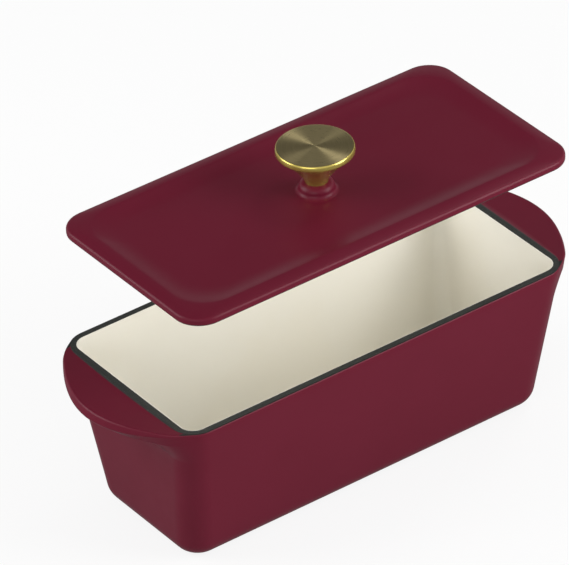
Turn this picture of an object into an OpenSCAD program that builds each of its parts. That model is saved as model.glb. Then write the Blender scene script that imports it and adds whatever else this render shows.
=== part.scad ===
// Rectangular cast iron roasting dish with two end lugs, a lid lifted off it and a turned knob.
// Units are millimetres. The origin is at the centre of the foot, +X runs along the dish and +Z is up.

/* [Dish] */
// Inner length of the opening at the rim
opening_l = 282; // [220:1:340]
// Inner width of the opening at the rim
opening_w = 125; // [118:1:160]
// Height from the foot to the rim
dish_h = 110; // [85:1:140]
// Outer length where the drafted ends meet the foot plane
base_l = 273; // [225:1:285]
// Outer width where the drafted sides meet the foot plane
base_w = 97; // [84:1:125]
// Width of the flat rim land at the short ends
land_end = 5; // [4:0.1:9]
// Width of the flat rim land along the long sides
land_side = 4.8; // [3.5:0.1:8]
// Radius of the enamelled shoulder outside the land
shoulder_r = 1.1; // [0.8:0.1:2.5]
// Radius of the worn edge inside the land
inner_edge_r = 0.8; // [0.4:0.1:1.5]
// Plan radius of the outer vertical corners
corner_r = 16.5; // [12:0.5:24]
// Plan radius of the corners of the opening
opening_r = 9; // [6:0.5:14]
// Radius between the walls and the foot
base_round = 14; // [6:0.5:20]
// Radius between the walls and the floor inside
inner_round = 12; // [6:0.5:18]
// Wall thickness just above the floor
wall_t = 4.4; // [3.5:0.1:7]
// Floor thickness
floor_t = 4.6; // [3.5:0.1:8]
// Width of the foot band that stands on the table
foot_w = 9; // [5:0.5:15]
// Depth of the hollow inside the foot band
foot_hollow = 0.8; // [0.4:0.1:2]

/* [Lugs] */
// How far each lug reaches beyond the shoulder
lug_reach = 28; // [15:0.5:40]
// Width of each lug along the short end
lug_w = 129; // [80:1:133]
// Roundness of the lug outline, larger is squarer
lug_square = 2; // [1.8:0.1:4]
// How softly the lug runs out into the corners
lug_soft = 1.15; // [1:0.05:1.6]
// Drop of the lug top below the rim
lug_drop = 0.6; // [0.3:0.1:3]
// Thickness of the lug at its outer edge
lug_lip_t = 7.6; // [6:0.1:11]
// How far the upper edge of the lug stands back from the lower one
lug_set_back = 1.2; // [0:0.1:2.5]
// Radius of the upper edge of the lug
lug_top_r = 1.8; // [0.8:0.1:3]
// Radius of the lower edge of the lug
lug_under_r = 3; // [1.5:0.1:3]
// Depth below the rim at which the lug runs out into the end wall
lug_root = 25; // [17:1:50]
// Hollowness of the cove under the lug
lug_cove = 1.6; // [1:0.1:2.5]

/* [Lid] */
// Height at which the lid is held above the rim, 0 closes the dish
lid_lift = 78.5; // [0:0.5:120]
// How far the lifted lid is held along the dish
lid_shift = 4.5; // [-20:0.5:20]
// Overhang of the lid beyond the shoulder at the ends
lid_over_end = -1.5; // [-2.5:0.1:4]
// Overhang of the lid beyond the shoulder at the sides
lid_over_side = 4.2; // [0:0.1:7]
// Plan radius of the lid corners
lid_corner_r = 18; // [14:0.5:30]
// Thickness of the lid at its edge
lid_edge_t = 5.4; // [4:0.1:8]
// Radius of the upper corner of the edge
edge_top_r = 2.2; // [1:0.1:2.6]
// Radius of the lower corner of the edge
edge_low_r = 1.2; // [0.5:0.1:1.4]
// Plan radius of the corners of the panel
panel_r = 24; // [14:0.5:28]
// Width of the raised border around the panel
border_w = 9.5; // [8:0.5:18]
// Rise of the border above the edge
border_rise = 1; // [0.4:0.1:3]
// Width of the soft slope from the border to the panel
slope_w = 16; // [8:0.5:20]
// How early the slope falls, smaller is steeper beside the border
slope_lead = 0.65; // [0.5:0.05:1]
// Drop from the border to the panel
panel_drop = 2.4; // [1:0.1:4]
// Thickness of the panel
panel_t = 4.6; // [3.5:0.1:6]
// Angle above the horizontal at which the rounded edge runs out into the border
edge_angle = 68; // [40:1:75]
// Depth of the locating lip below the seat
lip_h = 4; // [2.5:0.1:8]
// Thickness of the locating lip
lip_t = 4; // [2.5:0.1:6]
// Chamfer on both lower edges of the locating lip
lip_chamfer = 0.8; // [0.3:0.1:1]
// Clearance between the locating lip and the opening
lip_clear = 1.6; // [0.8:0.1:3]

/* [Boss and knob] */
// Diameter of the cast boss under the knob
boss_d = 22.5; // [19:0.5:30]
// Height of the boss above the panel
boss_h = 7.2; // [6.5:0.1:14]
// Radius of the fillet at the foot of the boss
boss_fillet = 2; // [1:0.5:3]
// Radius of the rounded top edge of the boss
boss_edge_r = 4; // [0.5:0.1:4.5]
// Diameter of the knob disc
knob_d = 49.4; // [36:0.2:60]
// Height of the knob from the boss to its top
knob_h = 25; // [20:0.2:34]
// Diameter of the knob where it stands on the boss
neck_d = 14.4; // [10:0.2:15]
// Thickness of the rounded rim of the disc
knob_rim_t = 4; // [3:0.1:6]
// Radius of the upper edge of the disc
knob_edge_r = 0.9; // [0.4:0.1:1.5]
// Sharpness of the flare from the neck to the disc
knob_flare = 1.4; // [1.1:0.1:4]

/* [Screw] */
// Diameter of the screw shank
screw_d = 5; // [4:0.5:6]
// Length of the screw inside the knob
screw_grip = 12; // [8:0.5:15]
// Radial clearance of the screw in the lid
screw_clear = 0.3; // [0.1:0.05:0.6]
// Radial clearance of the screw in the knob
thread_clear = 0.05; // [0.02:0.01:0.15]
// Depth left free beyond the screw tip
tip_clear = 1.5; // [0.5:0.1:3]
// Diameter of the screw head
head_d = 9.6; // [8:0.2:12]
// Height of the screw head
head_h = 3.2; // [2.4:0.1:4]
// Chamfer at the tip of the screw
screw_tip = 0.8; // [0.3:0.1:1.2]
// Length of the two slots that cross in the screw head
recess_l = 6; // [4:0.2:7]
// Width of the slots
recess_w = 1.2; // [0.8:0.1:1.8]
// Depth of the slots
recess_depth = 1.6; // [1:0.1:2.2]
// Diameter of the washer
washer_d = 14; // [12:0.2:18]
// Thickness of the washer
washer_t = 1.2; // [0.8:0.1:2]

/* [Hidden] */

enamel_red = [0.42, 0.11, 0.17];
brass_gold = [0.72, 0.58, 0.36];
bright_steel = [0.72, 0.73, 0.75];

// Smoothness of the round parts and of the lofted rings
turned_fn = 96;
corner_steps = 7;
end_steps = 18;
round_steps = 6;
cove_steps = 9;
edge_steps = 3;
lid_corner_steps = 10;
border_steps = 4;
slope_steps = 7;
flare_steps = 14;
fine_steps = 6;

// Angle by which the lug edge and the knob rim turn under
turn_under = 60;
// Smallest plan radius that a corner is given
least_r = 1.5;
// Overlap of a cut beyond the surface that it opens
cut = 1;

// Half sizes of the dish, along X and Y
opening = [opening_l, opening_w] / 2;
land = [land_end, land_side];
shoulder = opening + land + [shoulder_r, shoulder_r];
base = [base_l, base_w] / 2;
inner_base = base - [wall_t, wall_t];

// Slopes of the walls, as growth outwards for each millimetre up
wall_top = dish_h - shoulder_r;
outer_draft = (shoulder - base) / wall_top;
inner_draft = (opening - inner_base) / dish_h;

// Half size of a drafted wall with a rounded foot, at a height above its foot plane
function foot_inset(draft, r) = let (a = atan(draft)) r * (1 - sin(a)) / cos(a);
function foot_end(draft, r) = r * (1 - sin(atan(draft)));
function wall_at(half, draft, r, z) =
    z < foot_end(draft, r)
        ? half - foot_inset(draft, r) + sqrt(r * r - (r - z) * (r - z))
        : half + draft * z;
function walls_at(halves, drafts, r, z) =
    [wall_at(halves.x, drafts.x, r, z), wall_at(halves.y, drafts.y, r, z)];

// Points along an arc, in equal steps
function arc(centre, r, start, end, steps) =
    [for (i = [0:steps]) let (a = start + (end - start) * i / steps) centre + r * [cos(a), sin(a)]];

// A whole ring seen from above, anticlockwise from its far left corner
function corner(centre, r, start, steps) = arc(centre, r, start, start + 90, steps);
function flat_end(x, half_y, steps) =
    [for (i = [1:1:steps - 1]) [x, half_y * (2 * i / steps - 1) * sign(x)]];
function ring_outline(half, r, corners, ends) =
    let (c = half - [r, r])
    concat(
        corner([-c.x, c.y], r, 90, corners),
        flat_end(-half.x, c.y, ends),
        corner([-c.x, -c.y], r, 180, corners),
        corner([c.x, -c.y], r, 270, corners),
        flat_end(half.x, c.y, ends),
        corner([c.x, c.y], r, 0, corners)
    );
function level(outline, z) = [for (p = outline) [p.x, p.y, z]];

// Share of the full lug at a place along the short end
function lug_share(y) =
    let (u = abs(y) / (lug_w / 2))
    u < 1 ? pow(1 - pow(u, lug_square), lug_soft) : 0;

// A ring of the dish wall, pushed out and lifted to another height where the lug is
function lug_ring(half, r, z, reach, lug_z) = [
    for (p = ring_outline(half, r, corner_steps, end_steps))
    let (share = lug_share(p.y))
    [p.x + sign(p.x) * reach * share, p.y, z + (lug_z - z) * share]
];

// A level ring inset from the outside by a width
function inset_ring(half, r, inset, z) = level(ring_outline(half - [inset, inset], r, lid_corner_steps, 1), z);

// Triangles between rings of equal length, closed by a flat face at each end
function between_rings(rings, n) = [
    for (i = [0:rings - 2], j = [0:n - 1])
    let (a = i * n + j, b = i * n + (j + 1) % n)
    each [[a, a + n, b + n], [a, b + n, b]]
];
function end_faces(rings, n) = [
    [for (j = [0:n - 1]) j],
    [for (j = [n - 1:-1:0]) (rings - 1) * n + j]
];
module loft(rings) {
    n = len(rings[0]);
    polyhedron(
        points = [for (ring = rings) each ring],
        faces = concat(between_rings(len(rings), n), end_faces(len(rings), n))
    );
}

// Dish, from the hollow of the foot outwards, up the wall, over the rim and down inside
foot_edge = walls_at(base, outer_draft, base_round, 0);
foot_r = max(corner_r - foot_inset(outer_draft.x, base_round), least_r);
function plain_ring(half, r, z) = lug_ring(half, r, z, 0, z);
function outer_ring(z) =
    let (half = walls_at(base, outer_draft, base_round, z), straight = base + outer_draft * z)
    plain_ring(half, max(corner_r - (straight - half).x, foot_r), z);

foot_rings = [
    plain_ring(foot_edge - [foot_w, foot_w], foot_r, foot_hollow),
    plain_ring(foot_edge - [foot_w, foot_w] + [foot_hollow, foot_hollow], foot_r, 0)
];
base_rings = [
    for (i = [0:round_steps])
    outer_ring((1 - cos(90 * i / round_steps)) * foot_end(outer_draft.x, base_round))
];

// Edge of the lug in section, as reach and height, from under the lip round to its flat top
lug_top = dish_h - lug_drop;
lip_section = concat(
    arc([lug_reach - lug_under_r, lug_top - lug_lip_t + lug_under_r], lug_under_r, -turn_under, 0, edge_steps),
    arc([lug_reach - lug_set_back - lug_top_r, lug_top - lug_top_r], lug_top_r, 0, 90, edge_steps),
    [[lug_reach / 2, lug_top], [0, lug_top]]
);

// Under the lug the wall swells out in a cove, at equal steps of height
cove_foot = dish_h - lug_root;
cove_top = lip_section[0] + [shoulder.x, 0];
cove_rings = [
    for (i = [0:cove_steps - 1])
    let (t = i / cove_steps, z = cove_foot + (cove_top.y - cove_foot) * t, half = base + outer_draft * z)
    lug_ring(half, corner_r, z, (cove_top.x - half.x) * pow(t, lug_cove), z)
];

// While the lug turns over its lip and its flat top, the long sides turn over the shoulder
lip_rings = [
    for (i = [0:len(lip_section) - 1])
    let (
        a = 90 * i / len(lip_section),
        inset = shoulder_r * (1 - cos(a)),
        out = lip_section[i].x + inset
    )
    lug_ring(shoulder - [inset, inset], corner_r - inset, wall_top + shoulder_r * sin(a), out, lip_section[i].y)
];

// The flat land lies between the shoulder and the worn inner edge
rim_rings = concat(
    [plain_ring(opening + land, corner_r - shoulder_r, dish_h)],
    [
        for (i = [0:edge_steps])
        let (a = 90 * i / edge_steps, inset = inner_edge_r * (1 - sin(a)))
        plain_ring(opening + [inset, inset], opening_r + inset, dish_h - inner_edge_r * (1 - cos(a)))
    ]
);

// The inside follows the outside, with its own rounding down to the floor
floor_half = inner_base + inner_draft * floor_t;
function inner_ring(h) =
    let (half = walls_at(floor_half, inner_draft, inner_round, h), straight = floor_half + inner_draft * h)
    plain_ring(half, max(opening_r - (straight - half).x, least_r), floor_t + h);
inner_rings = [
    for (i = [round_steps:-1:0])
    inner_ring((1 - cos(90 * i / round_steps)) * foot_end(inner_draft.x, inner_round))
];

module dish() {
    color(enamel_red)
        loft(concat(foot_rings, base_rings, cove_rings, lip_rings, rim_rings, inner_rings));
}

// Lid, in its own heights above the seat
lid_half = shoulder + [lid_over_end, lid_over_side];
seat = [lid_lift > 0 ? lid_shift : 0, 0, dish_h + lid_lift];
border_top = lid_edge_t + border_rise;
panel_top = border_top - panel_drop;
panel_under = panel_top - panel_t;

// The locating lip in section, as inset and height, from the hollow inside it round to the seat
lip_half = opening - [lip_clear, lip_clear];
hollow_r = (lip_h + panel_under - lip_chamfer) / 2;
seat_section = concat(
    arc([lip_t + hollow_r, panel_under - hollow_r], hollow_r, 90, 180, edge_steps),
    [
        [lip_t, lip_chamfer - lip_h],
        [lip_t - lip_chamfer, -lip_h],
        [lip_chamfer, -lip_h],
        [0, lip_chamfer - lip_h],
        [0, 0]
    ]
);
lid_under_rings = [
    for (p = seat_section)
    inset_ring(lip_half, max(opening_r - lip_clear - p.x, least_r), p.x, p.y)
];

// The edge in section, from the seat up to where the border takes over
edge_section = concat(
    arc([edge_low_r, edge_low_r], edge_low_r, 270, 180, edge_steps),
    arc([edge_top_r, lid_edge_t - edge_top_r], edge_top_r, 180, 180 - edge_angle, fine_steps)
);
lid_edge_rings = [for (p = edge_section) inset_ring(lid_half, lid_corner_r - p.x, p.x, p.y)];
edge_end = edge_section[len(edge_section) - 1];
border_rings = [
    for (i = [1:border_steps])
    let (t = i / border_steps, start_r = lid_corner_r - edge_end.x)
    inset_ring(
        lid_half, start_r + (panel_r - start_r) * t,
        edge_end.x + (border_w - edge_end.x) * t,
        edge_end.y + (border_top - edge_end.y) * sin(90 * t)
    )
];
slope_rings = [
    for (i = [1:slope_steps])
    let (t = i / slope_steps)
    inset_ring(
        lid_half, panel_r, border_w + slope_w * t,
        border_top - panel_drop * (1 - cos(180 * pow(t, slope_lead))) / 2
    )
];

module boss() {
    boss_r = boss_d / 2;
    rotate_extrude($fn = turned_fn)
        polygon(concat(
            [[0, -panel_t / 2], [boss_r + boss_fillet, -panel_t / 2]],
            arc([boss_r + boss_fillet, boss_fillet], boss_fillet, 270, 180, fine_steps),
            arc([boss_r - boss_edge_r, boss_h - boss_edge_r], boss_edge_r, 0, 90, fine_steps),
            [[0, boss_h]]
        ));
}

module lid() {
    bore_l = panel_t + boss_h + 2 * cut;
    color(enamel_red)
        translate(seat)
            difference() {
                union() {
                    loft(concat(lid_under_rings, lid_edge_rings, border_rings, slope_rings));
                    translate([0, 0, panel_top]) boss();
                }
                translate([0, 0, panel_under - cut])
                    cylinder(d = screw_d + 2 * screw_clear, h = bore_l, $fn = turned_fn);
            }
}

// Knob, turned from one bar, in its own heights above the boss
knob_foot = seat + [0, 0, panel_top + boss_h];
disc_r = knob_d / 2;
neck_r = neck_d / 2;
rim_r = knob_rim_t - knob_edge_r;
rim_z = knob_h - knob_edge_r;
rim_section = concat(
    arc([disc_r - rim_r, rim_z], rim_r, -turn_under, 0, fine_steps),
    arc([disc_r - knob_edge_r, rim_z], knob_edge_r, 0, 90, fine_steps)
);

module knob() {
    bore_h = screw_grip + tip_clear;
    color(brass_gold)
        translate(knob_foot)
            difference() {
                rotate_extrude($fn = turned_fn)
                    polygon(concat(
                        [[0, 0]],
                        [
                            for (i = [0:flare_steps - 1])
                            let (t = i / flare_steps)
                            [neck_r + (rim_section[0].x - neck_r) * pow(t, knob_flare), rim_section[0].y * t]
                        ],
                        rim_section,
                        [[0, knob_h]]
                    ));
                translate([0, 0, -cut])
                    cylinder(d = screw_d + 2 * thread_clear, h = bore_h + cut, $fn = turned_fn);
            }
}

// Screw and washer, hung from the underside of the panel
washer_foot = seat + [0, 0, panel_under - washer_t];
shank_l = washer_t + panel_t + boss_h + screw_grip;

module knob_screw() {
    head_r = head_d / 2;
    screw_r = screw_d / 2;
    color(bright_steel)
        translate(washer_foot)
            difference() {
                rotate_extrude($fn = turned_fn)
                    polygon(concat(
                        [[0, -head_h], [head_r - head_h / 2, -head_h]],
                        arc([head_r - head_h / 2, -head_h / 2], head_h / 2, -90, 0, fine_steps),
                        [
                            [head_r, 0],
                            [screw_r, 0],
                            [screw_r, shank_l - screw_tip],
                            [screw_r - screw_tip, shank_l],
                            [0, shank_l]
                        ]
                    ));
                for (a = [0, 90])
                    rotate([0, 0, a])
                        translate([-recess_l / 2, -recess_w / 2, -head_h - cut])
                            cube([recess_l, recess_w, recess_depth + cut]);
            }
}

module screw_washer() {
    color(bright_steel)
        translate(washer_foot)
            difference() {
                cylinder(d = washer_d, h = washer_t, $fn = turned_fn);
                translate([0, 0, -cut])
                    cylinder(d = screw_d + 2 * screw_clear, h = washer_t + 2 * cut, $fn = turned_fn);
            }
}

dish();
lid();
knob();
knob_screw();
screw_washer();
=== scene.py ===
"""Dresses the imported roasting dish: two enamelled castings, a turned knob, its fixings and a plain studio."""

import logging
import math
from dataclasses import dataclass, field
from enum import Enum
from typing import Iterable, Sequence

import bpy
from mathutils import Matrix, Vector, noise


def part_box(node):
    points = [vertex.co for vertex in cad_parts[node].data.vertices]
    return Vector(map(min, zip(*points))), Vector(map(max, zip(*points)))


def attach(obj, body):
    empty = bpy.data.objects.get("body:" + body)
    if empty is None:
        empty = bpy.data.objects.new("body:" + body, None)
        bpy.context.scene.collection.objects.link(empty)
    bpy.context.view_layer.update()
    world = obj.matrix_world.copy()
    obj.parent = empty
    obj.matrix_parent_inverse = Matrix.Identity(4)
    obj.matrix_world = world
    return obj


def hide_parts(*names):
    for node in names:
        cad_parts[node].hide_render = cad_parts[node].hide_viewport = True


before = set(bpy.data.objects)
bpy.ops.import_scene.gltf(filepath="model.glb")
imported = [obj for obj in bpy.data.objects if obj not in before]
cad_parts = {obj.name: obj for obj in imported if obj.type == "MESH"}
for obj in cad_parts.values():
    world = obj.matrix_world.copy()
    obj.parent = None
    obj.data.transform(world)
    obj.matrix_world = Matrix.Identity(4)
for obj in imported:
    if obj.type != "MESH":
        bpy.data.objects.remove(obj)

LOG = logging.getLogger("roasting_dish")
BODY = "root"
SHARP_ANGLE = 35.0
QUARTER_TURN = 0.25
UP = Vector((0.0, 0.0, 1.0))
WHITE = (1.0, 1.0, 1.0, 1.0)
FLOAT = "NodeSocketFloat"
COLOR = "NodeSocketColor"
VECTOR = "NodeSocketVector"
Pair = tuple[float, float]
Triple = tuple[float, float, float]
Ring = list[Vector]
Object = bpy.types.Object
Material = bpy.types.Material
Tree = bpy.types.NodeTree
Node = bpy.types.Node
Socket = bpy.types.NodeSocket


class Zone(Enum):
    """The finishes of a casting, by the order of its material slots."""

    OUTSIDE = 0
    RIM = 1
    INSIDE = 2


class KnobZone(Enum):
    """The finishes of the knob, by the order of its material slots."""

    POLISHED = 0
    BRUSHED = 1


def arc(centre: Pair, radius: float, start: float, end: float, steps: int) -> list[Pair]:
    """Points along an arc from one angle to another, in degrees, one more than the steps."""
    turns = [math.radians(start + (end - start) * i / steps) for i in range(steps + 1)]
    return [(centre[0] + radius * math.cos(a), centre[1] + radius * math.sin(a)) for a in turns]


def spread(first: float, last: float, steps: int) -> list[float]:
    """Values in equal steps from first to last, both included."""
    return [first + (last - first) * i / steps for i in range(steps + 1)]


def between(first: Pair, second: Pair, t: float) -> Pair:
    """The point that lies a share of the way from one point to another."""
    return (first[0] + (second[0] - first[0]) * t, first[1] + (second[1] - first[1]) * t)


def grow(half: Pair, by: float) -> Pair:
    """Half sizes made larger, or smaller by a negative amount."""
    return (half[0] + by, half[1] + by)


def clamp(value: float) -> float:
    """A value kept from 0 to 1."""
    return max(0.0, min(1.0, value))


@dataclass(frozen=True)
class Outline:
    """How many steps a rounded rectangle has on its corners, short ends and long sides."""

    corner_steps: int = 12
    end_steps: int = 44
    side_steps: int = 64

    def points(self, half: Pair, radius: float) -> list[Pair]:
        """A rounded rectangle, anticlockwise from above, from the far end of its right side.

        Args:
            half: Half length and half width.
            radius: Radius of the corners.

        Returns:
            Its points, always the same number.
        """
        x, y = grow(half, -radius)
        rounds = [arc((sx * x, sy * y), radius, start, start + 90, self.corner_steps)
                  for sx, sy, start in ((1, 1, 0), (-1, 1, 90), (-1, -1, 180), (1, -1, 270))]
        found: list[Pair] = []
        for number, corner in enumerate(rounds):
            following = rounds[(number + 1) % len(rounds)][0]
            steps = self.side_steps if number % 2 == 0 else self.end_steps
            found += corner + [between(corner[-1], following, i / steps) for i in range(1, steps)]
        return found

    def circle(self, radius: float, half: Pair, corner: float) -> list[Pair]:
        """A circle whose points lie in the same directions as those of a rounded rectangle."""
        turns = [math.atan2(y, x) for x, y in self.points(half, corner)]
        return [(radius * math.cos(a), radius * math.sin(a)) for a in turns]


def level(outline: Iterable[Pair], height: float) -> Ring:
    """A flat outline, seen from above, lifted to a height."""
    return [Vector((x, y, height)) for x, y in outline]


def narrowed(edge: Ring, steps: int) -> list[Ring]:
    """Rings that fill the flat area inside a long ring, to half a step from its middle line.

    Args:
        edge: The ring round the area.
        steps: Number of rings.

    Returns:
        The rings, from the edge inwards.
    """
    spine = max(p.x for p in edge) - max(p.y for p in edge)
    rings = []
    for i in range(1, steps + 1):
        keep = 1 - i / (steps + 0.5)
        axes = [max(-spine, min(spine, p.x)) for p in edge]
        rings.append([Vector((x + (p.x - x) * keep, p.y * keep, p.z)) for x, p in zip(axes, edge)])
    return rings


class Loft:
    """A smooth mesh between rings of equal length, with masks for the rim and for bare spots."""

    def __init__(self) -> None:
        """Starts with no rings."""
        self.rings: list[Ring] = []
        self.zones: list[Enum] = []
        self.places: list[float] = []
        self.bare: list[list[float]] = []

    def add(self, ring: Ring, zone: Enum, place: float = 0.0, bare: list[float] | None = None) -> None:
        """Adds a ring.

        Args:
            ring: The points.
            zone: Finish of the band between this ring and the one before it.
            place: Place across the rim, from 0 outside to 1 inside.
            bare: For each point, 1 where no enamel covers the black ground coat.
        """
        self.rings.append(ring)
        self.zones.append(zone)
        self.places.append(place)
        self.bare.append(bare or [0.0] * len(ring))

    def build(self, name: str, materials: Sequence[Material], whole: bool = False) -> Object:
        """Makes the mesh object.

        Args:
            name: Name of the piece.
            materials: One material per zone.
            whole: Join the last ring to the first, instead of closing both with a face.

        Returns:
            The object, in the scene, with smooth faces.
        """
        count = len(self.rings[0])
        faces: list[list[int]] = []
        zones: list[int] = []
        for i in range(len(self.rings) if whole else len(self.rings) - 1):
            following = (i + 1) % len(self.rings)
            low, high = i * count, following * count
            for j, k in zip(range(count), [*range(1, count), 0]):
                faces.append([low + j, low + k, high + k, high + j])
            zones += [self.zones[following].value] * count
        if not whole:
            last = (len(self.rings) - 1) * count
            faces += [list(range(count - 1, -1, -1)), list(range(last, last + count))]
            zones += [self.zones[0].value, self.zones[-1].value]
        mesh = bpy.data.meshes.new(name)
        mesh.from_pydata([p[:] for ring in self.rings for p in ring], [], faces)
        for material in materials:
            mesh.materials.append(material)
        mesh.polygons.foreach_set("material_index", zones)
        mesh.polygons.foreach_set("use_smooth", [True] * len(faces))
        masks = {"rim_place": [v for v in self.places for _ in range(count)],
                 "bare": [v for ring in self.bare for v in ring]}
        for key, values in masks.items():
            mesh.attributes.new(key, "FLOAT", "POINT").data.foreach_set("value", values)
        mesh.set_sharp_from_angle(angle=math.radians(SHARP_ANGLE))
        mesh.update()
        return place_in_scene(name, mesh)


def place_in_scene(name: str, data: bpy.types.ID) -> Object:
    """Makes an object of a mesh, lamp or camera and links it to the scene.

    Args:
        name: Name of the object.
        data: What it shows.

    Returns:
        The new object.
    """
    made = bpy.data.objects.new(name, data)
    bpy.context.scene.collection.objects.link(made)
    return made


def middle_of(node: str) -> Vector:
    """The middle of a CAD node's box."""
    low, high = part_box(node)
    return (Vector(low) + Vector(high)) / 2


def dress(piece: Object, nodes: Sequence[str]) -> Object:
    """Lets a visual piece stand for CAD nodes and ride with the body.

    Args:
        piece: The piece, in its place.
        nodes: The nodes that it replaces.

    Returns:
        The same piece.
    """
    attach(piece, BODY)
    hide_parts(*nodes)
    return piece


class Graph:
    """Adds nodes and links to a node tree with few words."""

    def __init__(self, tree: Tree) -> None:
        """Keeps the tree."""
        self.tree = tree

    def node(self, kind: str, settings: dict[str, object] | None = None, **inputs: object) -> Node:
        """Adds a node.

        Args:
            kind: Blender's name for the node type.
            settings: Properties to set on the node.
            inputs: Socket names, with underscores for spaces, and a value or an output socket for each.

        Returns:
            The node.
        """
        made = self.tree.nodes.new(kind)
        for key, value in (settings or {}).items():
            setattr(made, key, value)
        for key, value in inputs.items():
            self.feed(made, key.replace("_", " "), value)
        return made

    def feed(self, made: Node, socket: str | int, value: object) -> None:
        """Sets or links one input.

        Args:
            made: The node.
            socket: Name or number of its input.
            value: A plain value, or the output socket to link.
        """
        target = made.inputs[socket]
        if isinstance(value, Socket):
            self.tree.links.new(value, target)
        else:
            target.default_value = value

    def group(self, tree: Tree, **inputs: object) -> Node:
        """Adds a shared group with its values, named as in a node's inputs."""
        return self.node("ShaderNodeGroup", {"node_tree": tree}, **inputs)

    def surface(self, kind: str, **inputs: object) -> None:
        """Adds a shader with its inputs and makes it the material's surface."""
        self.node("ShaderNodeOutputMaterial", Surface=self.node(kind, **inputs).outputs[0])

    def math(self, operation: str, first: object, second: object = 0.0) -> Socket:
        """Adds a Math node.

        Args:
            operation: Its operation.
            first: Value or socket.
            second: Value or socket.

        Returns:
            The result.
        """
        made = self.node("ShaderNodeMath", {"operation": operation})
        self.feed(made, 0, first)
        self.feed(made, 1, second)
        return made.outputs[0]

    def around(self, middle: object, value: object, swing: float) -> Socket:
        """Moves a value up and down as another goes from 0 to 1.

        Args:
            middle: The value or socket to move.
            value: The socket that moves it.
            swing: Difference between the highest and the lowest result.

        Returns:
            The result.
        """
        made = self.math("MULTIPLY_ADD", value, swing)
        self.feed(made.node, 2, self.math("SUBTRACT", middle, swing / 2))
        return made

    def mix(self, factor: object, first: object, second: object) -> Socket:
        """Adds a colour Mix node.

        Args:
            factor: Share of the second colour.
            first: Colour or socket.
            second: Colour or socket.

        Returns:
            The mixed colour.
        """
        made = self.node("ShaderNodeMix", {"data_type": "RGBA"})
        for number, value in ((0, factor), (6, first), (7, second)):
            self.feed(made, number, value)
        return made.outputs[2]

    def remap(self, value: object, band: Pair) -> Socket:
        """Adds a smooth Map Range node that goes from 0 to 1 and stays there.

        Args:
            value: Value or socket.
            band: The values at which the result leaves 0 and reaches 1.

        Returns:
            The result.
        """
        smooth = {"interpolation_type": "SMOOTHSTEP"}
        made = self.node("ShaderNodeMapRange", smooth, Value=value, From_Min=band[0], From_Max=band[1])
        return made.outputs[0]

    def noise(
        self, scale: object, detail: float, vector: Socket | None = None, roughness: float = 0.5,
    ) -> Socket:
        """Adds a Noise Texture.

        Args:
            scale: Its scale.
            detail: Its detail.
            vector: Coordinates, or None for the mesh's own.
            roughness: Its roughness.

        Returns:
            The grey value.
        """
        made = self.node("ShaderNodeTexNoise", Scale=scale, Detail=detail, Roughness=roughness)
        self.feed(made, "Vector", vector or self.place())
        return made.outputs[0]

    def place(self) -> Socket:
        """The object's own coordinates, in metres."""
        return self.node("ShaderNodeTexCoord").outputs["Object"]

    def mask(self, attribute: str) -> Socket:
        """A mask that is stored on the mesh's points."""
        return self.node("ShaderNodeAttribute", {"attribute_name": attribute}).outputs["Fac"]


def opaque(colour: Triple) -> tuple[float, float, float, float]:
    """A colour with full alpha."""
    return (*colour, 1.0)


def new_group(
    name: str, inputs: dict[str, Sequence[str]], outputs: dict[str, Sequence[str]],
) -> tuple[Tree, Graph, bpy.types.NodeOutputs, Node]:
    """Starts a shader node group with named sockets.

    Args:
        name: Name of the group.
        inputs: Names of the inputs, by socket type.
        outputs: Names of the outputs, by socket type.

    Returns:
        The group, a graph on it, what it is given, and its output node.
    """
    tree = bpy.data.node_groups.new(name, "ShaderNodeTree")
    for way, sockets in (("INPUT", inputs), ("OUTPUT", outputs)):
        for kind, labels in sockets.items():
            for label in labels:
                tree.interface.new_socket(name=label, in_out=way, socket_type=kind)
    graph = Graph(tree)
    return tree, graph, graph.node("NodeGroupInput").outputs, graph.node("NodeGroupOutput")


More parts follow.
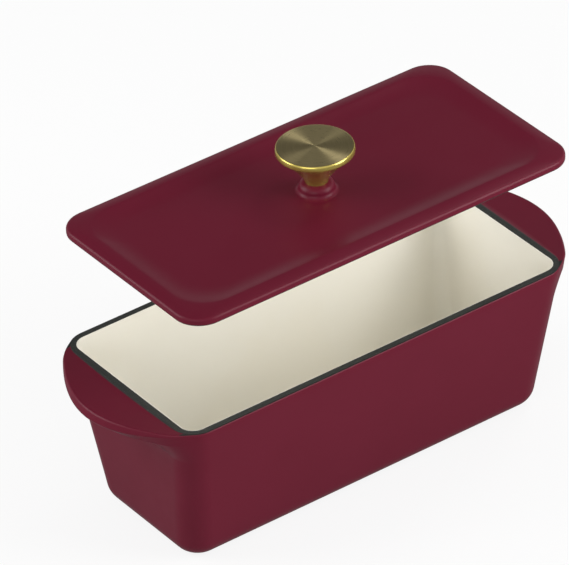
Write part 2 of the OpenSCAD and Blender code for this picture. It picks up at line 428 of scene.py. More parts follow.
class Effects:
    """The node groups that several materials share, each built once. A band is two values of a noise."""

    CLOUD_BAND = (0.38, 0.66)
    SPECK_SCALE = 2600.0
    SPECK_BAND = (0.72, 0.78)
    GLOSS_SCALE = 60.0
    GLOSS_SWING = 0.12
    WAVE_SCALE = 55.0
    WAVE_SHARE = 1.5
    TURN_SCALE = 0.8
    GROOVE_BAND = (0.4, 0.62)
    GROOVE_SWING = 0.16
    SMEAR_SCALE = 32.0
    SMEAR_BAND = (0.5, 0.75)
    SCRATCH_SCALE = (40.0, 900.0, 500.0)
    SCRATCH_TURN = (0.0, 0.0, 0.5)
    SCRATCH_BAND = (0.68, 0.74)

    def __init__(self) -> None:
        """Builds the groups."""
        self.build_enamel()
        self.build_turning()
        self.build_handling()

    def build_enamel(self) -> None:
        """Builds fired enamel: clouded colour, darker where it pooled, with an orange-peel skin."""
        self.enamel, graph, given, out = new_group("Fired enamel", {
            COLOR: ("Colour", "Pooled Colour"),
            FLOAT: ("Cloud Scale", "Pooling", "Roughness", "Peel Scale", "Peel Depth", "Specks"),
        }, {COLOR: ("Color",), FLOAT: ("Roughness", "Height")})
        cloud = graph.noise(given["Cloud Scale"], 3.0)
        pooled = graph.math("MULTIPLY", graph.remap(cloud, self.CLOUD_BAND), given["Pooling"])
        colour = graph.mix(pooled, given["Colour"], given["Pooled Colour"])
        grain = graph.noise(self.SPECK_SCALE, 1.0)
        speck = graph.math("MULTIPLY", graph.remap(grain, self.SPECK_BAND), given["Specks"])
        graph.feed(out, "Color", graph.mix(speck, colour, given["Pooled Colour"]))
        gloss = graph.around(given["Roughness"], graph.noise(self.GLOSS_SCALE, 4.0), self.GLOSS_SWING)
        graph.feed(out, "Roughness", gloss)
        peel = graph.noise(given["Peel Scale"], 2.0)
        wave = graph.math("MULTIPLY", graph.noise(self.WAVE_SCALE, 1.0), self.WAVE_SHARE)
        graph.feed(out, "Height", graph.math("MULTIPLY", graph.math("ADD", peel, wave), given["Peel Depth"]))

    def build_turning(self) -> None:
        """Builds lathe marks: fine rings about an upright axis."""
        self.turning, graph, given, out = new_group("Lathe marks", {
            COLOR: ("Colour", "Groove Colour"), FLOAT: ("Ring Scale", "Groove Share", "Roughness", "Depth"),
            VECTOR: ("Axis",),
        }, {COLOR: ("Color",), FLOAT: ("Roughness", "Height")})
        from_axis = graph.node("ShaderNodeVectorMath", {"operation": "SUBTRACT"})
        graph.feed(from_axis, 0, graph.place())
        graph.feed(from_axis, 1, given["Axis"])
        x, y, z = graph.node("ShaderNodeSeparateXYZ", Vector=from_axis.outputs[0]).outputs
        across = graph.math("ADD", graph.math("MULTIPLY", x, x), graph.math("MULTIPLY", y, y))
        radius = graph.math("SQRT", across)
        turn = graph.math("ARCTAN2", y, x)
        scale = given["Ring Scale"]
        line = graph.node("ShaderNodeCombineXYZ", X=graph.math("MULTIPLY", radius, scale),
                          Y=graph.math("MULTIPLY", turn, self.TURN_SCALE), Z=graph.math("MULTIPLY", z, scale))
        grooves = graph.noise(1.0, 3.0, line.outputs[0], 0.7)
        share = graph.math("MULTIPLY", graph.remap(grooves, self.GROOVE_BAND), given["Groove Share"])
        graph.feed(out, "Color", graph.mix(share, given["Colour"], given["Groove Colour"]))
        graph.feed(out, "Roughness", graph.around(given["Roughness"], grooves, self.GROOVE_SWING))
        graph.feed(out, "Height", graph.math("MULTIPLY", grooves, given["Depth"]))

    def build_handling(self) -> None:
        """Builds signs of handling: faint smears and hair scratches that change the roughness."""
        self.handling, graph, given, out = new_group(
            "Handling marks", {FLOAT: ("Roughness", "Smears", "Scratches")}, {FLOAT: ("Roughness",)})
        smear = graph.remap(graph.noise(self.SMEAR_SCALE, 5.0, roughness=0.6), self.SMEAR_BAND)
        stretched = graph.node("ShaderNodeMapping", Vector=graph.place(), Scale=self.SCRATCH_SCALE,
                               Rotation=self.SCRATCH_TURN)
        scratch = graph.remap(graph.noise(1.0, 2.0, stretched.outputs[0]), self.SCRATCH_BAND)
        marked = graph.math("ADD", given["Roughness"], graph.math("MULTIPLY", smear, given["Smears"]))
        marked = graph.math("ADD", marked, graph.math("MULTIPLY", scratch, given["Scratches"]))
        graph.feed(out, "Roughness", marked)


def blank_graph(owner: Material | bpy.types.World) -> Graph:
    """Empties the nodes of a material or world.

    Args:
        owner: The material or world.

    Returns:
        A graph on its nodes.
    """
    owner.use_nodes = True
    owner.node_tree.nodes.clear()
    return Graph(owner.node_tree)


def blank_material(name: str) -> tuple[Material, Graph]:
    """A new material without nodes, and a graph on it."""
    material = bpy.data.materials.new(name)
    return material, blank_graph(material)


@dataclass(frozen=True)
class Wear:
    """Marks of handling and the fine relief of a surface."""

    smears: float
    scratches: float
    relief: float
    relief_depth: float = 0.0002

    def add(self, graph: Graph, effects: Effects, roughness: object, height: Socket) -> dict[str, Socket]:
        """Adds both to a material.

        Args:
            graph: The material's graph.
            effects: The shared groups.
            roughness: The value or socket that the marks change.
            height: Height of the relief.

        Returns:
            The results, by the names of the shader's inputs.
        """
        marks = graph.group(
            effects.handling, Roughness=roughness, Smears=self.smears, Scratches=self.scratches)
        bump = graph.node("ShaderNodeBump", Strength=self.relief, Distance=self.relief_depth, Height=height)
        return {"Roughness": marks.outputs[0], "Normal": bump.outputs[0]}


@dataclass(frozen=True)
class EnamelFinish:
    """Glass enamel fired on iron, over a black ground coat that shows where the mesh is marked bare."""

    name: str
    colour: Triple
    pooled: Triple
    roughness: float
    specular: float
    ground: Triple = (0.018, 0.019, 0.018)
    pooling: float = 0.3
    cloud_scale: float = 14.0
    peel_scale: float = 420.0
    peel_depth: float = 0.1
    specks: float = 0.1
    ragged_scale: float = 500.0
    ragged_swing: float = 0.5
    ragged_band: Pair = (0.4, 0.6)
    wear: Wear = Wear(0.015, 0.03, 0.35)

    def build(self, effects: Effects) -> Material:
        """Makes the material from the shared groups.

        Args:
            effects: The shared groups.

        Returns:
            The material.
        """
        material, graph = blank_material(self.name)
        skin = graph.group(
            effects.enamel, Colour=opaque(self.colour), Pooled_Colour=opaque(self.pooled),
            Cloud_Scale=self.cloud_scale, Pooling=self.pooling, Roughness=self.roughness,
            Peel_Scale=self.peel_scale, Peel_Depth=self.peel_depth, Specks=self.specks)
        ragged = graph.around(graph.mask("bare"), graph.noise(self.ragged_scale, 3.0), self.ragged_swing)
        bare = graph.remap(ragged, self.ragged_band)
        worn = self.wear.add(graph, effects, skin.outputs["Roughness"], skin.outputs["Height"])
        graph.surface("ShaderNodeBsdfPrincipled", Specular_IOR_Level=self.specular,
                      Base_Color=graph.mix(bare, skin.outputs["Color"], opaque(self.ground)), **worn)
        return material


@dataclass(frozen=True)
class RimFinish:
    """Matt black ground coat, which the cream enamel stops at."""

    name: str
    colour: Triple
    worn: Triple
    inner: Triple
    roughness: float = 0.55
    specular: float = 0.4
    grit_scale: float = 900.0
    grit_band: Pair = (0.5, 0.75)
    edge_scale: float = 420.0
    edge_swing: float = 0.12
    edge_band: Pair = (0.97, 1.02)
    wear: Wear = Wear(0.1, -0.15, 0.5)

    def build(self, effects: Effects) -> Material:
        """Makes the material; the enamel's uneven edge comes in at the inner side of the band.

        Args:
            effects: The shared groups.

        Returns:
            The material.
        """
        material, graph = blank_material(self.name)
        grit = graph.noise(self.grit_scale, 4.0, roughness=0.65)
        colour = graph.mix(graph.remap(grit, self.grit_band), opaque(self.colour), opaque(self.worn))
        edge = graph.around(graph.mask("rim_place"), graph.noise(self.edge_scale, 3.0), self.edge_swing)
        colour = graph.mix(graph.remap(edge, self.edge_band), colour, opaque(self.inner))
        worn = self.wear.add(graph, effects, self.roughness, grit)
        graph.surface("ShaderNodeBsdfPrincipled", Specular_IOR_Level=self.specular, Base_Color=colour, **worn)
        return material


@dataclass(frozen=True)
class TurnedFinish:
    """Metal turned on a lathe."""

    name: str
    colour: Triple
    groove: Triple
    roughness: float
    anisotropy: float = 0.0
    metallic: float = 1.0
    ring_scale: float = 1800.0
    groove_share: float = 0.4
    depth: float = 0.1
    wear: Wear = Wear(0.05, 0.05, 0.2, 0.00005)

    def build(self, effects: Effects) -> Material:
        """Makes the material, with its grain round the knob's axis.

        Args:
            effects: The shared groups.

        Returns:
            The material.
        """
        material, graph = blank_material(self.name)
        lathe = graph.group(
            effects.turning, Colour=opaque(self.colour), Groove_Colour=opaque(self.groove),
            Ring_Scale=self.ring_scale, Groove_Share=self.groove_share, Roughness=self.roughness,
            Depth=self.depth, Axis=(middle_of("knob").x, 0.0, 0.0))
        worn = self.wear.add(graph, effects, lathe.outputs["Roughness"], lathe.outputs["Height"])
        tangent = graph.node("ShaderNodeTangent", {"direction_type": "RADIAL", "axis": "Z"})
        graph.surface("ShaderNodeBsdfPrincipled", Base_Color=lathe.outputs["Color"], Metallic=self.metallic,
                      Anisotropic=self.anisotropy, Anisotropic_Rotation=QUARTER_TURN,
                      Tangent=tangent.outputs[0], **worn)
        return material


RED_ENAMEL = EnamelFinish("Wine red enamel", (0.112, 0.0072, 0.0205), (0.1, 0.0056, 0.0165), 0.35, 0.14)
CREAM_ENAMEL = EnamelFinish("Cream enamel", (0.87, 0.845, 0.765), (0.84, 0.79, 0.67), 0.42, 0.3,
                            peel_depth=0.05, specks=0.06)
BLACK_RIM = RimFinish("Matt black rim", (0.016, 0.018, 0.016), (0.055, 0.057, 0.053), (0.38, 0.36, 0.31))
BRUSHED_GOLD = TurnedFinish("Brushed gold", (0.72, 0.59, 0.3), (0.52, 0.42, 0.19), 0.3,
                            anisotropy=0.9, groove_share=0.3, depth=0.02)
POLISHED_GOLD = TurnedFinish("Polished gold", (0.52, 0.41, 0.1), (0.42, 0.33, 0.07), 0.19,
                             metallic=0.75, groove_share=0.15, depth=0.03)
BRIGHT_STEEL = TurnedFinish("Bright steel", (0.62, 0.63, 0.65), (0.42, 0.43, 0.45), 0.28, anisotropy=0.4)
CASTING_FINISHES = (RED_ENAMEL, BLACK_RIM, CREAM_ENAMEL)
KNOB_FINISHES = (POLISHED_GOLD, BRUSHED_GOLD)


@dataclass(frozen=True)
class DraftedWall:
    """A wall that leans outwards above a rounded foot. Its draft is the growth for each metre up."""

    half: Pair
    draft: Pair
    foot_r: float
    corner_r: float
    least_r: float = 0.0015

    @property
    def foot_end(self) -> float:
        """Height at which the rounded foot ends, above the foot plane."""
        return self.foot_r * (1 - math.sin(math.atan(self.draft[0])))

    def foot_heights(self, start: float, end: float, steps: int) -> list[float]:
        """Heights on the rounded foot, from one angle to another, in degrees."""
        return [(1 - math.cos(math.radians(turn))) * self.foot_end for turn in spread(start, end, steps)]

    def reach(self, axis: int, z: float) -> float:
        """Half size along one axis.

        Args:
            axis: 0 for the length, 1 for the width.
            z: Height above the foot plane.

        Returns:
            The half size.
        """
        half, radius, lean = self.half[axis], self.foot_r, math.atan(self.draft[axis])
        foot = radius * (1 - math.sin(lean))
        if z < foot:
            return half - foot / math.cos(lean) + math.sqrt(radius * radius - (radius - z) ** 2)
        return half + self.draft[axis] * z

    def at(self, z: float) -> tuple[Pair, float]:
        """Half sizes and corner radius at a height.

        Args:
            z: Height above the foot plane.

        Returns:
            Both.
        """
        half = (self.reach(0, z), self.reach(1, z))
        inset = self.half[0] + self.draft[0] * z - half[0]
        return half, max(self.corner_r - inset, self.least_r)


@dataclass
class DishCasting:
    """The open dish: drafted walls, solid end lugs, a rim land and a foot band."""

    opening: Pair = (0.141, 0.0625)
    land: Pair = (0.005, 0.0048)
    base: Pair = (0.1365, 0.0485)
    height: float = 0.110
    wall: float = 0.0044
    floor: float = 0.0046
    shoulder_r: float = 0.0011
    inner_edge_r: float = 0.0008
    corner_r: float = 0.0165
    opening_r: float = 0.009
    base_round: float = 0.014
    inner_round: float = 0.012
    foot_w: float = 0.009
    foot_hollow: float = 0.0008
    lug_reach: float = 0.028
    lug_half_w: float = 0.0645
    lug_square: float = 2.0
    lug_soft: float = 1.15
    lug_drop: float = 0.0006
    lug_lip: float = 0.0076
    lug_set_back: float = 0.0012
    lug_top_r: float = 0.0018
    lug_under_r: float = 0.003
    lug_under_turn: float = 60.0
    lug_root: float = 0.025
    lug_cove: float = 1.6
    bare_from: float = 42.0
    bare_fade: float = 20.0
    bare_share: float = 0.11
    bare_limit: float = 1.5
    wave_depth: float = 0.00012
    wave_scale: float = 22.0
    wave_seed: float = 3.1
    wall_steps: int = 10
    round_steps: int = 14
    cove_steps: int = 26
    lug_steps: int = 7
    lug_top_steps: int = 9
    edge_steps: int = 6
    foot_rings: int = 6
    floor_rings: int = 8
    outline: Outline = Outline()
    loft: Loft = field(default_factory=Loft)

    def share(self, y: float) -> float:
        """How much of the full lug there is at a place along the short end."""
        along = abs(y) / self.lug_half_w
        return (1 - along ** self.lug_square) ** self.lug_soft if along < 1 else 0.0

    def ring(
        self, half: Pair, radius: float, z: float, reach: float = 0.0, lug_z: float | None = None,
    ) -> Ring:
        """A ring of the wall, pushed out and moved to another height where the lug is.

        Args:
            half: Half sizes.
            radius: Corner radius.
            z: Height beside the lugs.
            reach: How far the full lug pushes out.
            lug_z: Height at the full lug, or None for the same.

        Returns:
            The ring.
        """
        target = z if lug_z is None else lug_z
        made = []
        for x, y in self.outline.points(half, radius):
            share = self.share(y) if abs(x) > half[0] / 2 else 0.0
            made.append(Vector((x + math.copysign(reach * share, x), y, z + (target - z) * share)))
        return made

    def build(self, effects: Effects) -> Object:
        """Makes the casting and lets it stand for the dish.

        Args:
            effects: The shared groups.

        Returns:
            The piece.
        """
        self.add_outside()
        self.waver()
        self.add_rim()
        self.add_inside()
        piece = self.loft.build("dish_casting", [finish.build(effects) for finish in CASTING_FINISHES])
        return dress(piece, ["dish"])

    def lug_section(self) -> list[Pair]:
        """The section in the middle of a lug, from under its edge over its top to the rim.

        Returns:
            Reach and height of each point.
        """
        top = self.height - self.lug_drop
        under = (self.lug_reach - self.lug_under_r, top - self.lug_lip + self.lug_under_r)
        upper = (self.lug_reach - self.lug_set_back - self.lug_top_r, top - self.lug_top_r)
        section = arc(under, self.lug_under_r, -self.lug_under_turn, 0, self.lug_steps)
        section += arc(upper, self.lug_top_r, 0, 90, self.lug_top_steps)
        return section + [(self.lug_reach * (1 - t), top) for t in spread(0.0, 1.0, self.lug_steps)[1:]]

    def add_outside(self) -> None:
        """Adds the foot band, the drafted wall, and the coves and shoulder that end in the lugs."""
        shoulder = tuple(o + w + self.shoulder_r for o, w in zip(self.opening, self.land))
        wall_top = self.height - self.shoulder_r
        draft = tuple((s - b) / wall_top for s, b in zip(shoulder, self.base))
        wall = DraftedWall(self.base, draft, self.base_round, self.corner_r)
        half, radius = wall.at(0.0)
        hollow = self.ring(grow(half, -self.foot_w), radius, self.foot_hollow)
        for ring in reversed(narrowed(hollow, self.foot_rings)):
            self.loft.add(ring, Zone.OUTSIDE)
        self.loft.add(hollow, Zone.OUTSIDE)
        self.loft.add(self.ring(grow(half, self.foot_hollow - self.foot_w), radius, 0.0), Zone.OUTSIDE)
        cove_foot = self.height - self.lug_root
        heights = wall.foot_heights(0.0, 90.0, self.round_steps)
        heights += spread(wall.foot_end, cove_foot, self.wall_steps)[1:-1]
        for z in heights:
            self.loft.add(self.ring(*wall.at(z), z), Zone.OUTSIDE)
        section = self.lug_section()
        tip = (shoulder[0] + section[0][0], section[0][1])
        for t in spread(0.0, 1.0, self.cove_steps)[:-1]:
            z = cove_foot + (tip[1] - cove_foot) * t
            half = (self.base[0] + draft[0] * z, self.base[1] + draft[1] * z)
            reach = (tip[0] - half[0]) * t ** self.lug_cove
            self.loft.add(self.ring(half, self.corner_r, z, reach), Zone.OUTSIDE)
        for i, (reach, z) in enumerate(section):
            turn = math.radians(90 * i / len(section))
            inset = self.shoulder_r * (1 - math.cos(turn))
            ring = self.ring(grow(shoulder, -inset), self.corner_r - inset,
                             wall_top + self.shoulder_r * math.sin(turn), reach + inset, z)
            turned = clamp((math.degrees(turn) - self.bare_from) / self.bare_fade)
            bare = [turned * clamp(self.bare_limit - self.share(p.y) / self.bare_share) for p in ring]
            self.loft.add(ring, Zone.OUTSIDE, 0.0, bare)

    def waver(self) -> None:
        """Lets the outside waver inwards by a little, so that its reflections aren't perfect."""
        shift = Vector((self.wave_seed,) * 3)
        for p in (p for ring in self.loft.rings for p in ring if p.z > self.base_round):
            wave = 0.5 + 0.5 * noise.noise(p * self.wave_scale + shift)
            p -= Vector((p.x, p.y, 0.0)).normalized() * (self.wave_depth * clamp(wave))

    def add_rim(self) -> None:
        """Adds the flat land."""
        outer_r = self.corner_r - self.shoulder_r
        for t in spread(0.0, 1.0, self.edge_steps):
            edge = self.inner_edge_r * t
            half = grow(tuple(o + w * (1 - t) for o, w in zip(self.opening, self.land)), edge)
            radius = outer_r + (self.opening_r + edge - outer_r) * t
            self.loft.add(self.ring(half, radius, self.height), Zone.RIM, t)

    def add_inside(self) -> None:
        """Adds the rounded inner edge, the drafted inside and the rounded floor."""
        for x, y in arc((0.0, 0.0), self.inner_edge_r, 90, 0, self.edge_steps)[1:]:
            inset = self.inner_edge_r - x
            z = self.height - self.inner_edge_r + y
            self.loft.add(self.ring(grow(self.opening, inset), self.opening_r + inset, z), Zone.INSIDE, 1.0)
        base = grow(self.base, -self.wall)
        draft = tuple((o - b) / self.height for o, b in zip(self.opening, base))
        floor = tuple(b + d * self.floor for b, d in zip(base, draft))
        wall = DraftedWall(floor, draft, self.inner_round, self.opening_r)
        top = self.height - self.inner_edge_r - self.floor
        heights = spread(top, wall.foot_end, self.round_steps)[1:]
        heights += wall.foot_heights(90.0, 0.0, self.round_steps)[1:]
        for z in heights:
            self.loft.add(self.ring(*wall.at(z), self.floor + z), Zone.INSIDE, 1.0)
        for ring in narrowed(self.loft.rings[-1], self.floor_rings):
            self.loft.add(ring, Zone.INSIDE, 1.0)


@dataclass
class LidCasting:
    """The lid: rolled edge, sunk panel, boss, bore and locating lip, with heights from its seat."""

    half: Pair = (0.1456, 0.0726)
    corner_r: float = 0.018
    edge_t: float = 0.0054
    edge_top_r: float = 0.0022
    edge_low_r: float = 0.0012
    bare_edge: float = 0.001
    edge_angle: float = 68.0
    panel_r: float = 0.024
    border_w: float = 0.0095
    border_rise: float = 0.001
    slope_w: float = 0.016
    slope_lead: float = 0.65
    panel_drop: float = 0.0024
    panel_t: float = 0.0046
    lip: Pair = (0.1394, 0.0609)
    lip_r: float = 0.0074
    lip_h: float = 0.004
    lip_t: float = 0.004
    lip_chamfer: float = 0.0008
    boss_r: float = 0.01125
    boss_h: float = 0.0072
    boss_fillet: float = 0.003
    boss_edge_r: float = 0.0042
    bore_r: float = 0.0028
    least_r: float = 0.0015
    hollow_steps: int = 6
    arc_steps: int = 9
    edge_steps: int = 14
    border_steps: int = 12
    slope_steps: int = 18
    fan_steps: int = 10
    top_steps: int = 3
    bore_steps: int = 6
    outline: Outline = Outline()
    loft: Loft = field(default_factory=Loft)

    @property
    def border_top(self) -> float:
        """Height of the raised border."""
        return self.edge_t + self.border_rise

    @property
    def panel_top(self) -> float:
        """Height of the sunk panel."""
        return self.border_top - self.panel_drop

    def build(self, effects: Effects) -> Object:
        """Makes the casting and lets it stand for the lid.

        Args:
            effects: The shared groups.

        Returns:
            The piece.
        """
        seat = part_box("lid")[0].z + self.lip_h
        self.add_underside(seat)
        self.add_border(seat)
        panel = grow(self.half, -(self.border_w + self.slope_w))
        panel_z = seat + self.panel_top
        self.fan(self.boss_r + self.boss_fillet, panel, self.panel_r, panel_z, outwards=False)
        self.add_boss(panel, panel_z)
        along = middle_of("lid").x
        for p in (p for ring in self.loft.rings for p in ring):
            p.x += along
        materials = [finish.build(effects) for finish in CASTING_FINISHES]
        return dress(self.loft.build("lid_casting", materials, whole=True), ["lid"])

    def rectangle(self, half: Pair, inset: float, radius: float, z: float) -> Ring:
        """A rounded rectangle that lies inside another by an inset."""
        return level(self.outline.points(grow(half, -inset), radius), z)

    def add_underside(self, seat: float) -> None:
        """Adds the flat underside, the hollow up to the lip, and the lip.

        Args:
            seat: Height of the seat on the rim.
        """
        under = self.panel_top - self.panel_t
        chamfer = self.lip_chamfer
        hollow = (self.lip_h + under - chamfer) / 2
        section = [(self.lip_t + hollow - r * hollow, under - hollow + s * hollow)
                   for r, s in arc((0.0, 0.0), 1.0, 90, 0, self.hollow_steps)]
        section += [(self.lip_t, chamfer - self.lip_h), (self.lip_t - chamfer, -self.lip_h),
                    (chamfer, -self.lip_h), (0.0, chamfer - self.lip_h), (0.0, 0.0)]
        flat = grow(self.lip, -section[0][0])
        self.fan(self.bore_r, flat, self.least_r, seat + under, outwards=True)
        for i, (inset, z) in enumerate(section[1:]):
            ring = self.rectangle(self.lip, inset, max(self.lip_r - inset, self.least_r), seat + z)
            self.loft.add(ring, Zone.INSIDE if i < self.hollow_steps else Zone.RIM)

    def add_border(self, seat: float) -> None:
        """Adds the rolled edge, the border that rises from it and the slope down to the panel.

        Args:
            seat: Height of the seat on the rim.
        """
        edge = arc((self.edge_low_r, self.edge_low_r), self.edge_low_r, 270, 180, self.arc_steps)
        upper = (self.edge_top_r, self.edge_t - self.edge_top_r)
        edge += arc(upper, self.edge_top_r, 180, 180 - self.edge_angle, self.edge_steps)
        for x, z in edge:
            ring = self.rectangle(self.half, x, self.corner_r - x, seat + z)
            self.loft.add(ring, Zone.RIM if z < self.bare_edge else Zone.OUTSIDE)
        start, rise = edge[-1]
        edge_r = self.corner_r - start
        for t in spread(0.0, 1.0, self.border_steps)[1:]:
            inset = start + (self.border_w - start) * t
            z = rise + (self.border_top - rise) * math.sin(math.pi / 2 * t)
            radius = edge_r + (self.panel_r - edge_r) * t
            self.loft.add(self.rectangle(self.half, inset, radius, seat + z), Zone.OUTSIDE)
        for t in spread(0.0, 1.0, self.slope_steps)[1:]:
            inset = self.border_w + self.slope_w * t
            z = self.border_top - self.panel_drop * (1 - math.cos(math.pi * t ** self.slope_lead)) / 2
            self.loft.add(self.rectangle(self.half, inset, self.panel_r, seat + z), Zone.OUTSIDE)

    def fan(self, radius: float, half: Pair, corner: float, z: float, outwards: bool) -> None:
        """Adds flat rings between a circle and a rounded rectangle.

        Args:
            radius: Radius of the circle.
            half: Half sizes of the rectangle.
            corner: Radius of its corners.
            z: Height in the frame.
            outwards: From the circle to the rectangle under the lid, or back on top of it.
        """
        circle = self.outline.circle(radius, half, corner)
        outer = self.outline.points(half, corner)
        shares = spread(0.0, 1.0, self.fan_steps) if outwards else spread(1.0, 0.0, self.fan_steps)[1:]
        for t in shares:
            ring = level([between(a, b, t) for a, b in zip(circle, outer)], z)
            self.loft.add(ring, Zone.INSIDE if outwards else Zone.OUTSIDE)

    def add_boss(self, panel: Pair, z: float) -> None:
        """Adds the boss and the bore through it.

        Args:
            panel: Half sizes of the panel, for the directions of the points.
            z: Height of the panel in the frame.
        """
        top = self.boss_r - self.boss_edge_r
        foot = (self.boss_r + self.boss_fillet, self.boss_fillet)
        profile = arc(foot, self.boss_fillet, 270, 180, self.arc_steps)[1:]
        profile += arc((top, self.boss_h - self.boss_edge_r), self.boss_edge_r, 0, 90, self.arc_steps)
        profile += [(radius, self.boss_h) for radius in spread(top, self.bore_r, self.top_steps)[1:]]
        for radius, height in profile:
            self.loft.add(level(self.outline.circle(radius, panel, self.panel_r), z + height), Zone.OUTSIDE)
        for height in spread(self.boss_h, -self.panel_t, self.bore_steps)[1:-1]:
            self.loft.add(level(self.outline.circle(self.bore_r, panel, self.panel_r), z + height), Zone.RIM)
        self.loft.zones[0] = Zone.RIM


@dataclass
class TurnedKnob:
    """The knob, turned from one bar: neck, flare, rounded rim and brushed face."""

    disc_r: float = 0.0247
    height: float = 0.025
    neck_r: float = 0.0072
    rim_t: float = 0.004
    edge_r: float = 0.0009
    edge_fall: float = 0.003
    turn_under: float = 60.0
    flare: float = 1.4
    bore_r: float = 0.00255
    bore_h: float = 0.0135
    segments: int = 192
    rim_steps: int = 14
    flare_steps: int = 36
    edge_steps: int = 12
    face_rings: tuple[float, ...] = (0.97, 0.75, 0.5, 0.25, 0.05)

    def profile(self) -> list[tuple[float, float, KnobZone]]:
        """The section from the bottom of the blind bore to the middle of the face.

        Returns:
            Radius and height of each point, and the finish of the band that ends there.
        """
        rim_r, rim_z = self.rim_t - self.edge_fall, self.height - self.edge_fall
        rim = arc((self.disc_r - rim_r, rim_z), rim_r, -self.turn_under, 0, self.rim_steps)
        flare_r, flare_top = rim[0]
        face = self.disc_r - self.edge_r
        quarter = arc((0.0, 0.0), 1.0, 0, 90, self.edge_steps)
        sides = [(self.bore_r, self.bore_h), (self.bore_r, 0.0)]
        sides += [(self.neck_r + (flare_r - self.neck_r) * t ** self.flare, flare_top * t)
                  for t in spread(0.0, 1.0, self.flare_steps)[:-1]]
        sides += rim + [(face + self.edge_r * x, rim_z + self.edge_fall * y) for x, y in quarter[1:]]
        points = [(x, y, KnobZone.POLISHED) for x, y in sides]
        return points + [(face * t, self.height, KnobZone.BRUSHED) for t in self.face_rings]

    def build(self, effects: Effects) -> Object:
        """Makes the knob and lets it stand for its node.

        Args:
            effects: The shared groups.

        Returns:
            The piece.
        """
        stand = Vector((middle_of("knob").x, 0.0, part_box("knob")[0].z))
        turns = [2 * math.pi * j / self.segments for j in range(self.segments)]
        loft = Loft()
        for r, z, zone in self.profile():
            loft.add([stand + Vector((r * math.cos(a), r * math.sin(a), z)) for a in turns], zone)
        piece = loft.build("turned_knob", [finish.build(effects) for finish in KNOB_FINISHES])
        return dress(piece, ["knob"])


@dataclass
class Fixings:
    """The screw and washer under the lid, which keep their CAD shapes."""

    nodes: tuple[str, str] = ("knob_screw", "screw_washer")

    def build(self, effects: Effects) -> list[Object]:
        """Gives the CAD nodes bright steel.

        Args:
            effects: The shared groups.

        Returns:
            The nodes' objects.
        """
        steel = BRIGHT_STEEL.build(effects)
        pieces = [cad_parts[node] for node in self.nodes]
        for piece in pieces:
            piece.data.materials.clear()
            piece.data.materials.append(steel)
        return pieces


def direction(azimuth: float, elevation: float) -> Vector:
    """Towards a viewer or lamp; azimuth 0 is in front of the object and 90 on its right, in degrees."""
    a, e = math.radians(azimuth), math.radians(elevation)
    return Vector((math.sin(a) * math.cos(e), -math.cos(a) * math.cos(e), math.sin(e)))


@dataclass(frozen=True)
class Softbox:
    """An area lamp aimed at the middle of the object."""

    name: str
    azimuth: float
    elevation: float
    distance: float
    size: Pair
    power: float
    target: Triple = (0.0, 0.0, 0.12)

    def build(self) -> None:
        """Makes the lamp."""
        lamp = bpy.data.lights.new(self.name, "AREA")
        lamp.shape = "RECTANGLE"
        lamp.size, lamp.size_y = self.size
        lamp.energy = self.power
        away = direction(self.azimuth, self.elevation)
        holder = place_in_scene(self.name, lamp)
        holder.location = Vector(self.target) + away * self.distance
        holder.rotation_mode = "QUATERNION"
        holder.rotation_quaternion = away.to_track_quat("Z", "Y")
        holder.visible_camera = False


def plane(name: str, half: Pair) -> Object:
    """A flat rectangle in the scene.

    Args:
        name: Name of the object.
        half: Half of its width and height, in metres.

    Returns:
        The object.
    """
    x, y = half
    mesh = bpy.data.meshes.new(name)
    mesh.from_pydata([(-x, -y, 0), (x, -y, 0), (x, y, 0), (-x, y, 0)], [], [[0, 1, 2, 3]])
    return place_in_scene(name, mesh)


@dataclass(frozen=True)
class Card:
    """A glowing grey card that only reflections see: it paints a darker reflection than the white world or
    floor would give.
    """

    name: str
    middle: Vector
    facing: Vector
    half: Pair
    shade: float

    def build(self) -> None:
        """Hangs the card."""
        card = plane(self.name, self.half)
        turned = self.facing.to_track_quat("Z", "Y").to_matrix().to_4x4()
        card.matrix_world = Matrix.Translation(self.middle) @ turned
        material, graph = blank_material(self.name)
        graph.surface("ShaderNodeEmission", Color=opaque((self.shade,) * 3), Strength=1.0)
        card.data.materials.append(material)
        for ray in ("camera", "diffuse", "shadow", "transmission"):
            setattr(card, f"visible_{ray}", False)


def seen_as(graph: Graph, lighting: Node, seen: Node, share: float) -> Socket:
    """Shows one shader to camera, glossy and transmission rays, and lights the scene with another.

    Args:
        graph: The graph to add to.
        lighting: The shader that lights the scene.
        seen: The shader that is looked at.
        share: How much of it shows there.

    Returns:
        The mixed shader.
    """
    path = graph.node("ShaderNodeLightPath").outputs
    looked_at = graph.math("MAXIMUM", path["Is Camera Ray"], path["Is Glossy Ray"])
    looked_at = graph.math("MAXIMUM", looked_at, path["Is Transmission Ray"])
    mixed = graph.node("ShaderNodeMixShader")
    factor = graph.math("MULTIPLY", looked_at, share)
    for number, value in enumerate((factor, lighting.outputs[0], seen.outputs[0])):
        graph.feed(mixed, number, value)
    return mixed.outputs[0]


LAMPS = (
    Softbox("left", -124, 25, 1.5, (0.9, 1.2), 14),
    Softbox("right", 38, 22, 1.5, (0.9, 1.2), 20),
    Softbox("front", -56, 16, 1.8, (1.2, 0.7), 7),
    Softbox("back_right", 100, 54, 1.5, (0.35, 0.35), 2.4),
)
# Name, elevation in degrees, half height in metres and shade of each card behind the object
CARDS_BEHIND = (("upper_card", 62, 1.5, 0.1), ("lower_card", 5, 0.45, 0.6))


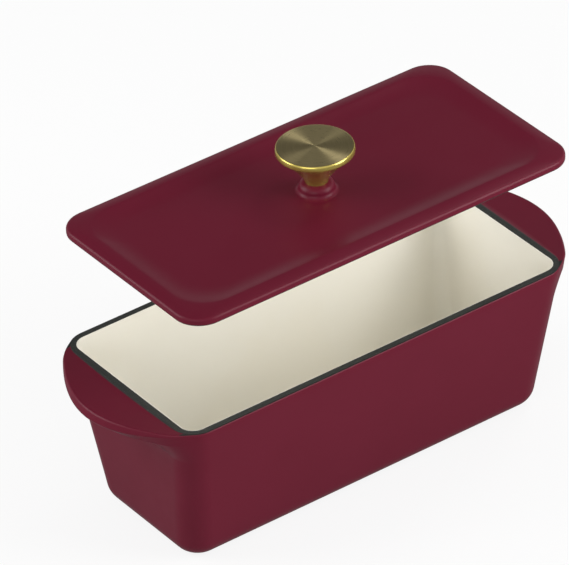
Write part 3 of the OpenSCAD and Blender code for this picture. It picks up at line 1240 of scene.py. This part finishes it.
@dataclass
class Studio:
    """Camera, lamps, white world, pale floor and the cards that dark reflections come from."""

    azimuth: float = -34.724
    elevation: float = 34.210
    roll: float = -2.909
    distance: float = 4.0
    focal_pixels: float = 6429.5
    picture_width: float = 569.0
    sensor_width: float = 36.0
    clipping: Pair = (0.1, 100.0)
    target: Triple = (-0.00145, 0.03131, 0.110)
    sky: float = 0.47
    floor_half: float = 15.0
    floor_paint: float = 0.82
    floor_glow: float = 0.85
    card_distance: float = 1.6
    card_height: float = 0.15
    card_half_w: float = 2.0
    floor_card_half: float = 6.0
    floor_card_lift: float = 0.0005
    floor_card_shade: float = 0.3

    def build(self) -> None:
        """Makes everything that isn't part of the object."""
        self.build_camera()
        self.build_world()
        self.build_floor()
        self.build_cards()
        for lamp in LAMPS:
            lamp.build()

    def build_camera(self) -> None:
        """Makes the camera at the photograph's viewing angle."""
        data = bpy.data.cameras.new("camera")
        data.sensor_width = self.sensor_width
        data.lens = self.focal_pixels / self.picture_width * self.sensor_width
        data.clip_start, data.clip_end = self.clipping
        back = direction(self.azimuth, self.elevation)
        right = (-back).cross(UP).normalized()
        up = right.cross(-back)
        c, s = math.cos(math.radians(self.roll)), math.sin(math.radians(self.roll))
        axes = (c * right + s * up, -s * right + c * up, back)
        place = Matrix([[axes[j][i] for j in range(3)] for i in range(3)]).to_4x4()
        place.translation = Vector(self.target) + back * self.distance
        camera = place_in_scene("camera", data)
        camera.matrix_world = place
        bpy.context.scene.camera = camera

    def build_world(self) -> None:
        """Makes a world that looks white and lights softly."""
        world = bpy.data.worlds.new("studio")
        bpy.context.scene.world = world
        graph = blank_graph(world)
        soft = graph.node("ShaderNodeBackground", Color=WHITE, Strength=self.sky)
        white = graph.node("ShaderNodeBackground", Color=WHITE, Strength=1.0)
        graph.node("ShaderNodeOutputWorld", Surface=seen_as(graph, soft, white, 1.0))

    def build_floor(self) -> None:
        """Makes the pale floor, which looks white and keeps the shadow."""
        floor = plane("floor", (self.floor_half, self.floor_half))
        material, graph = blank_material("Pale floor")
        paint = graph.node("ShaderNodeBsdfDiffuse", Color=opaque((self.floor_paint,) * 3))
        glow = graph.node("ShaderNodeEmission", Color=WHITE, Strength=1.0)
        graph.node("ShaderNodeOutputMaterial", Surface=seen_as(graph, paint, glow, self.floor_glow))
        floor.data.materials.append(material)

    def build_cards(self) -> None:
        """Hangs the cards behind the object and lays one on the floor."""
        # Each card behind the object paints a darker reflection of the white world there.
        for name, elevation, half_h, shade in CARDS_BEHIND:
            behind = direction(self.azimuth + 180, elevation)
            middle = behind * self.card_distance + UP * self.card_height
            Card(name, middle, -behind, (self.card_half_w, half_h), shade).build()
        # The card on the floor paints a darker reflection of the white floor.
        half = (self.floor_card_half, self.floor_card_half)
        Card("floor_card", UP * self.floor_card_lift, UP, half, self.floor_card_shade).build()


def main() -> None:
    logging.basicConfig(level=logging.INFO, format="%(message)s")
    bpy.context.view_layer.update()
    bpy.context.scene.view_settings.view_transform = "Standard"
    effects = Effects()
    pieces = [assembly.build(effects) for assembly in (DishCasting(), LidCasting(), TurnedKnob())]
    for piece in pieces + Fixings().build(effects):
        LOG.info("%s: %d faces", piece.name, len(piece.data.polygons))
    Studio().build()


if __name__ == "__main__":
    main()
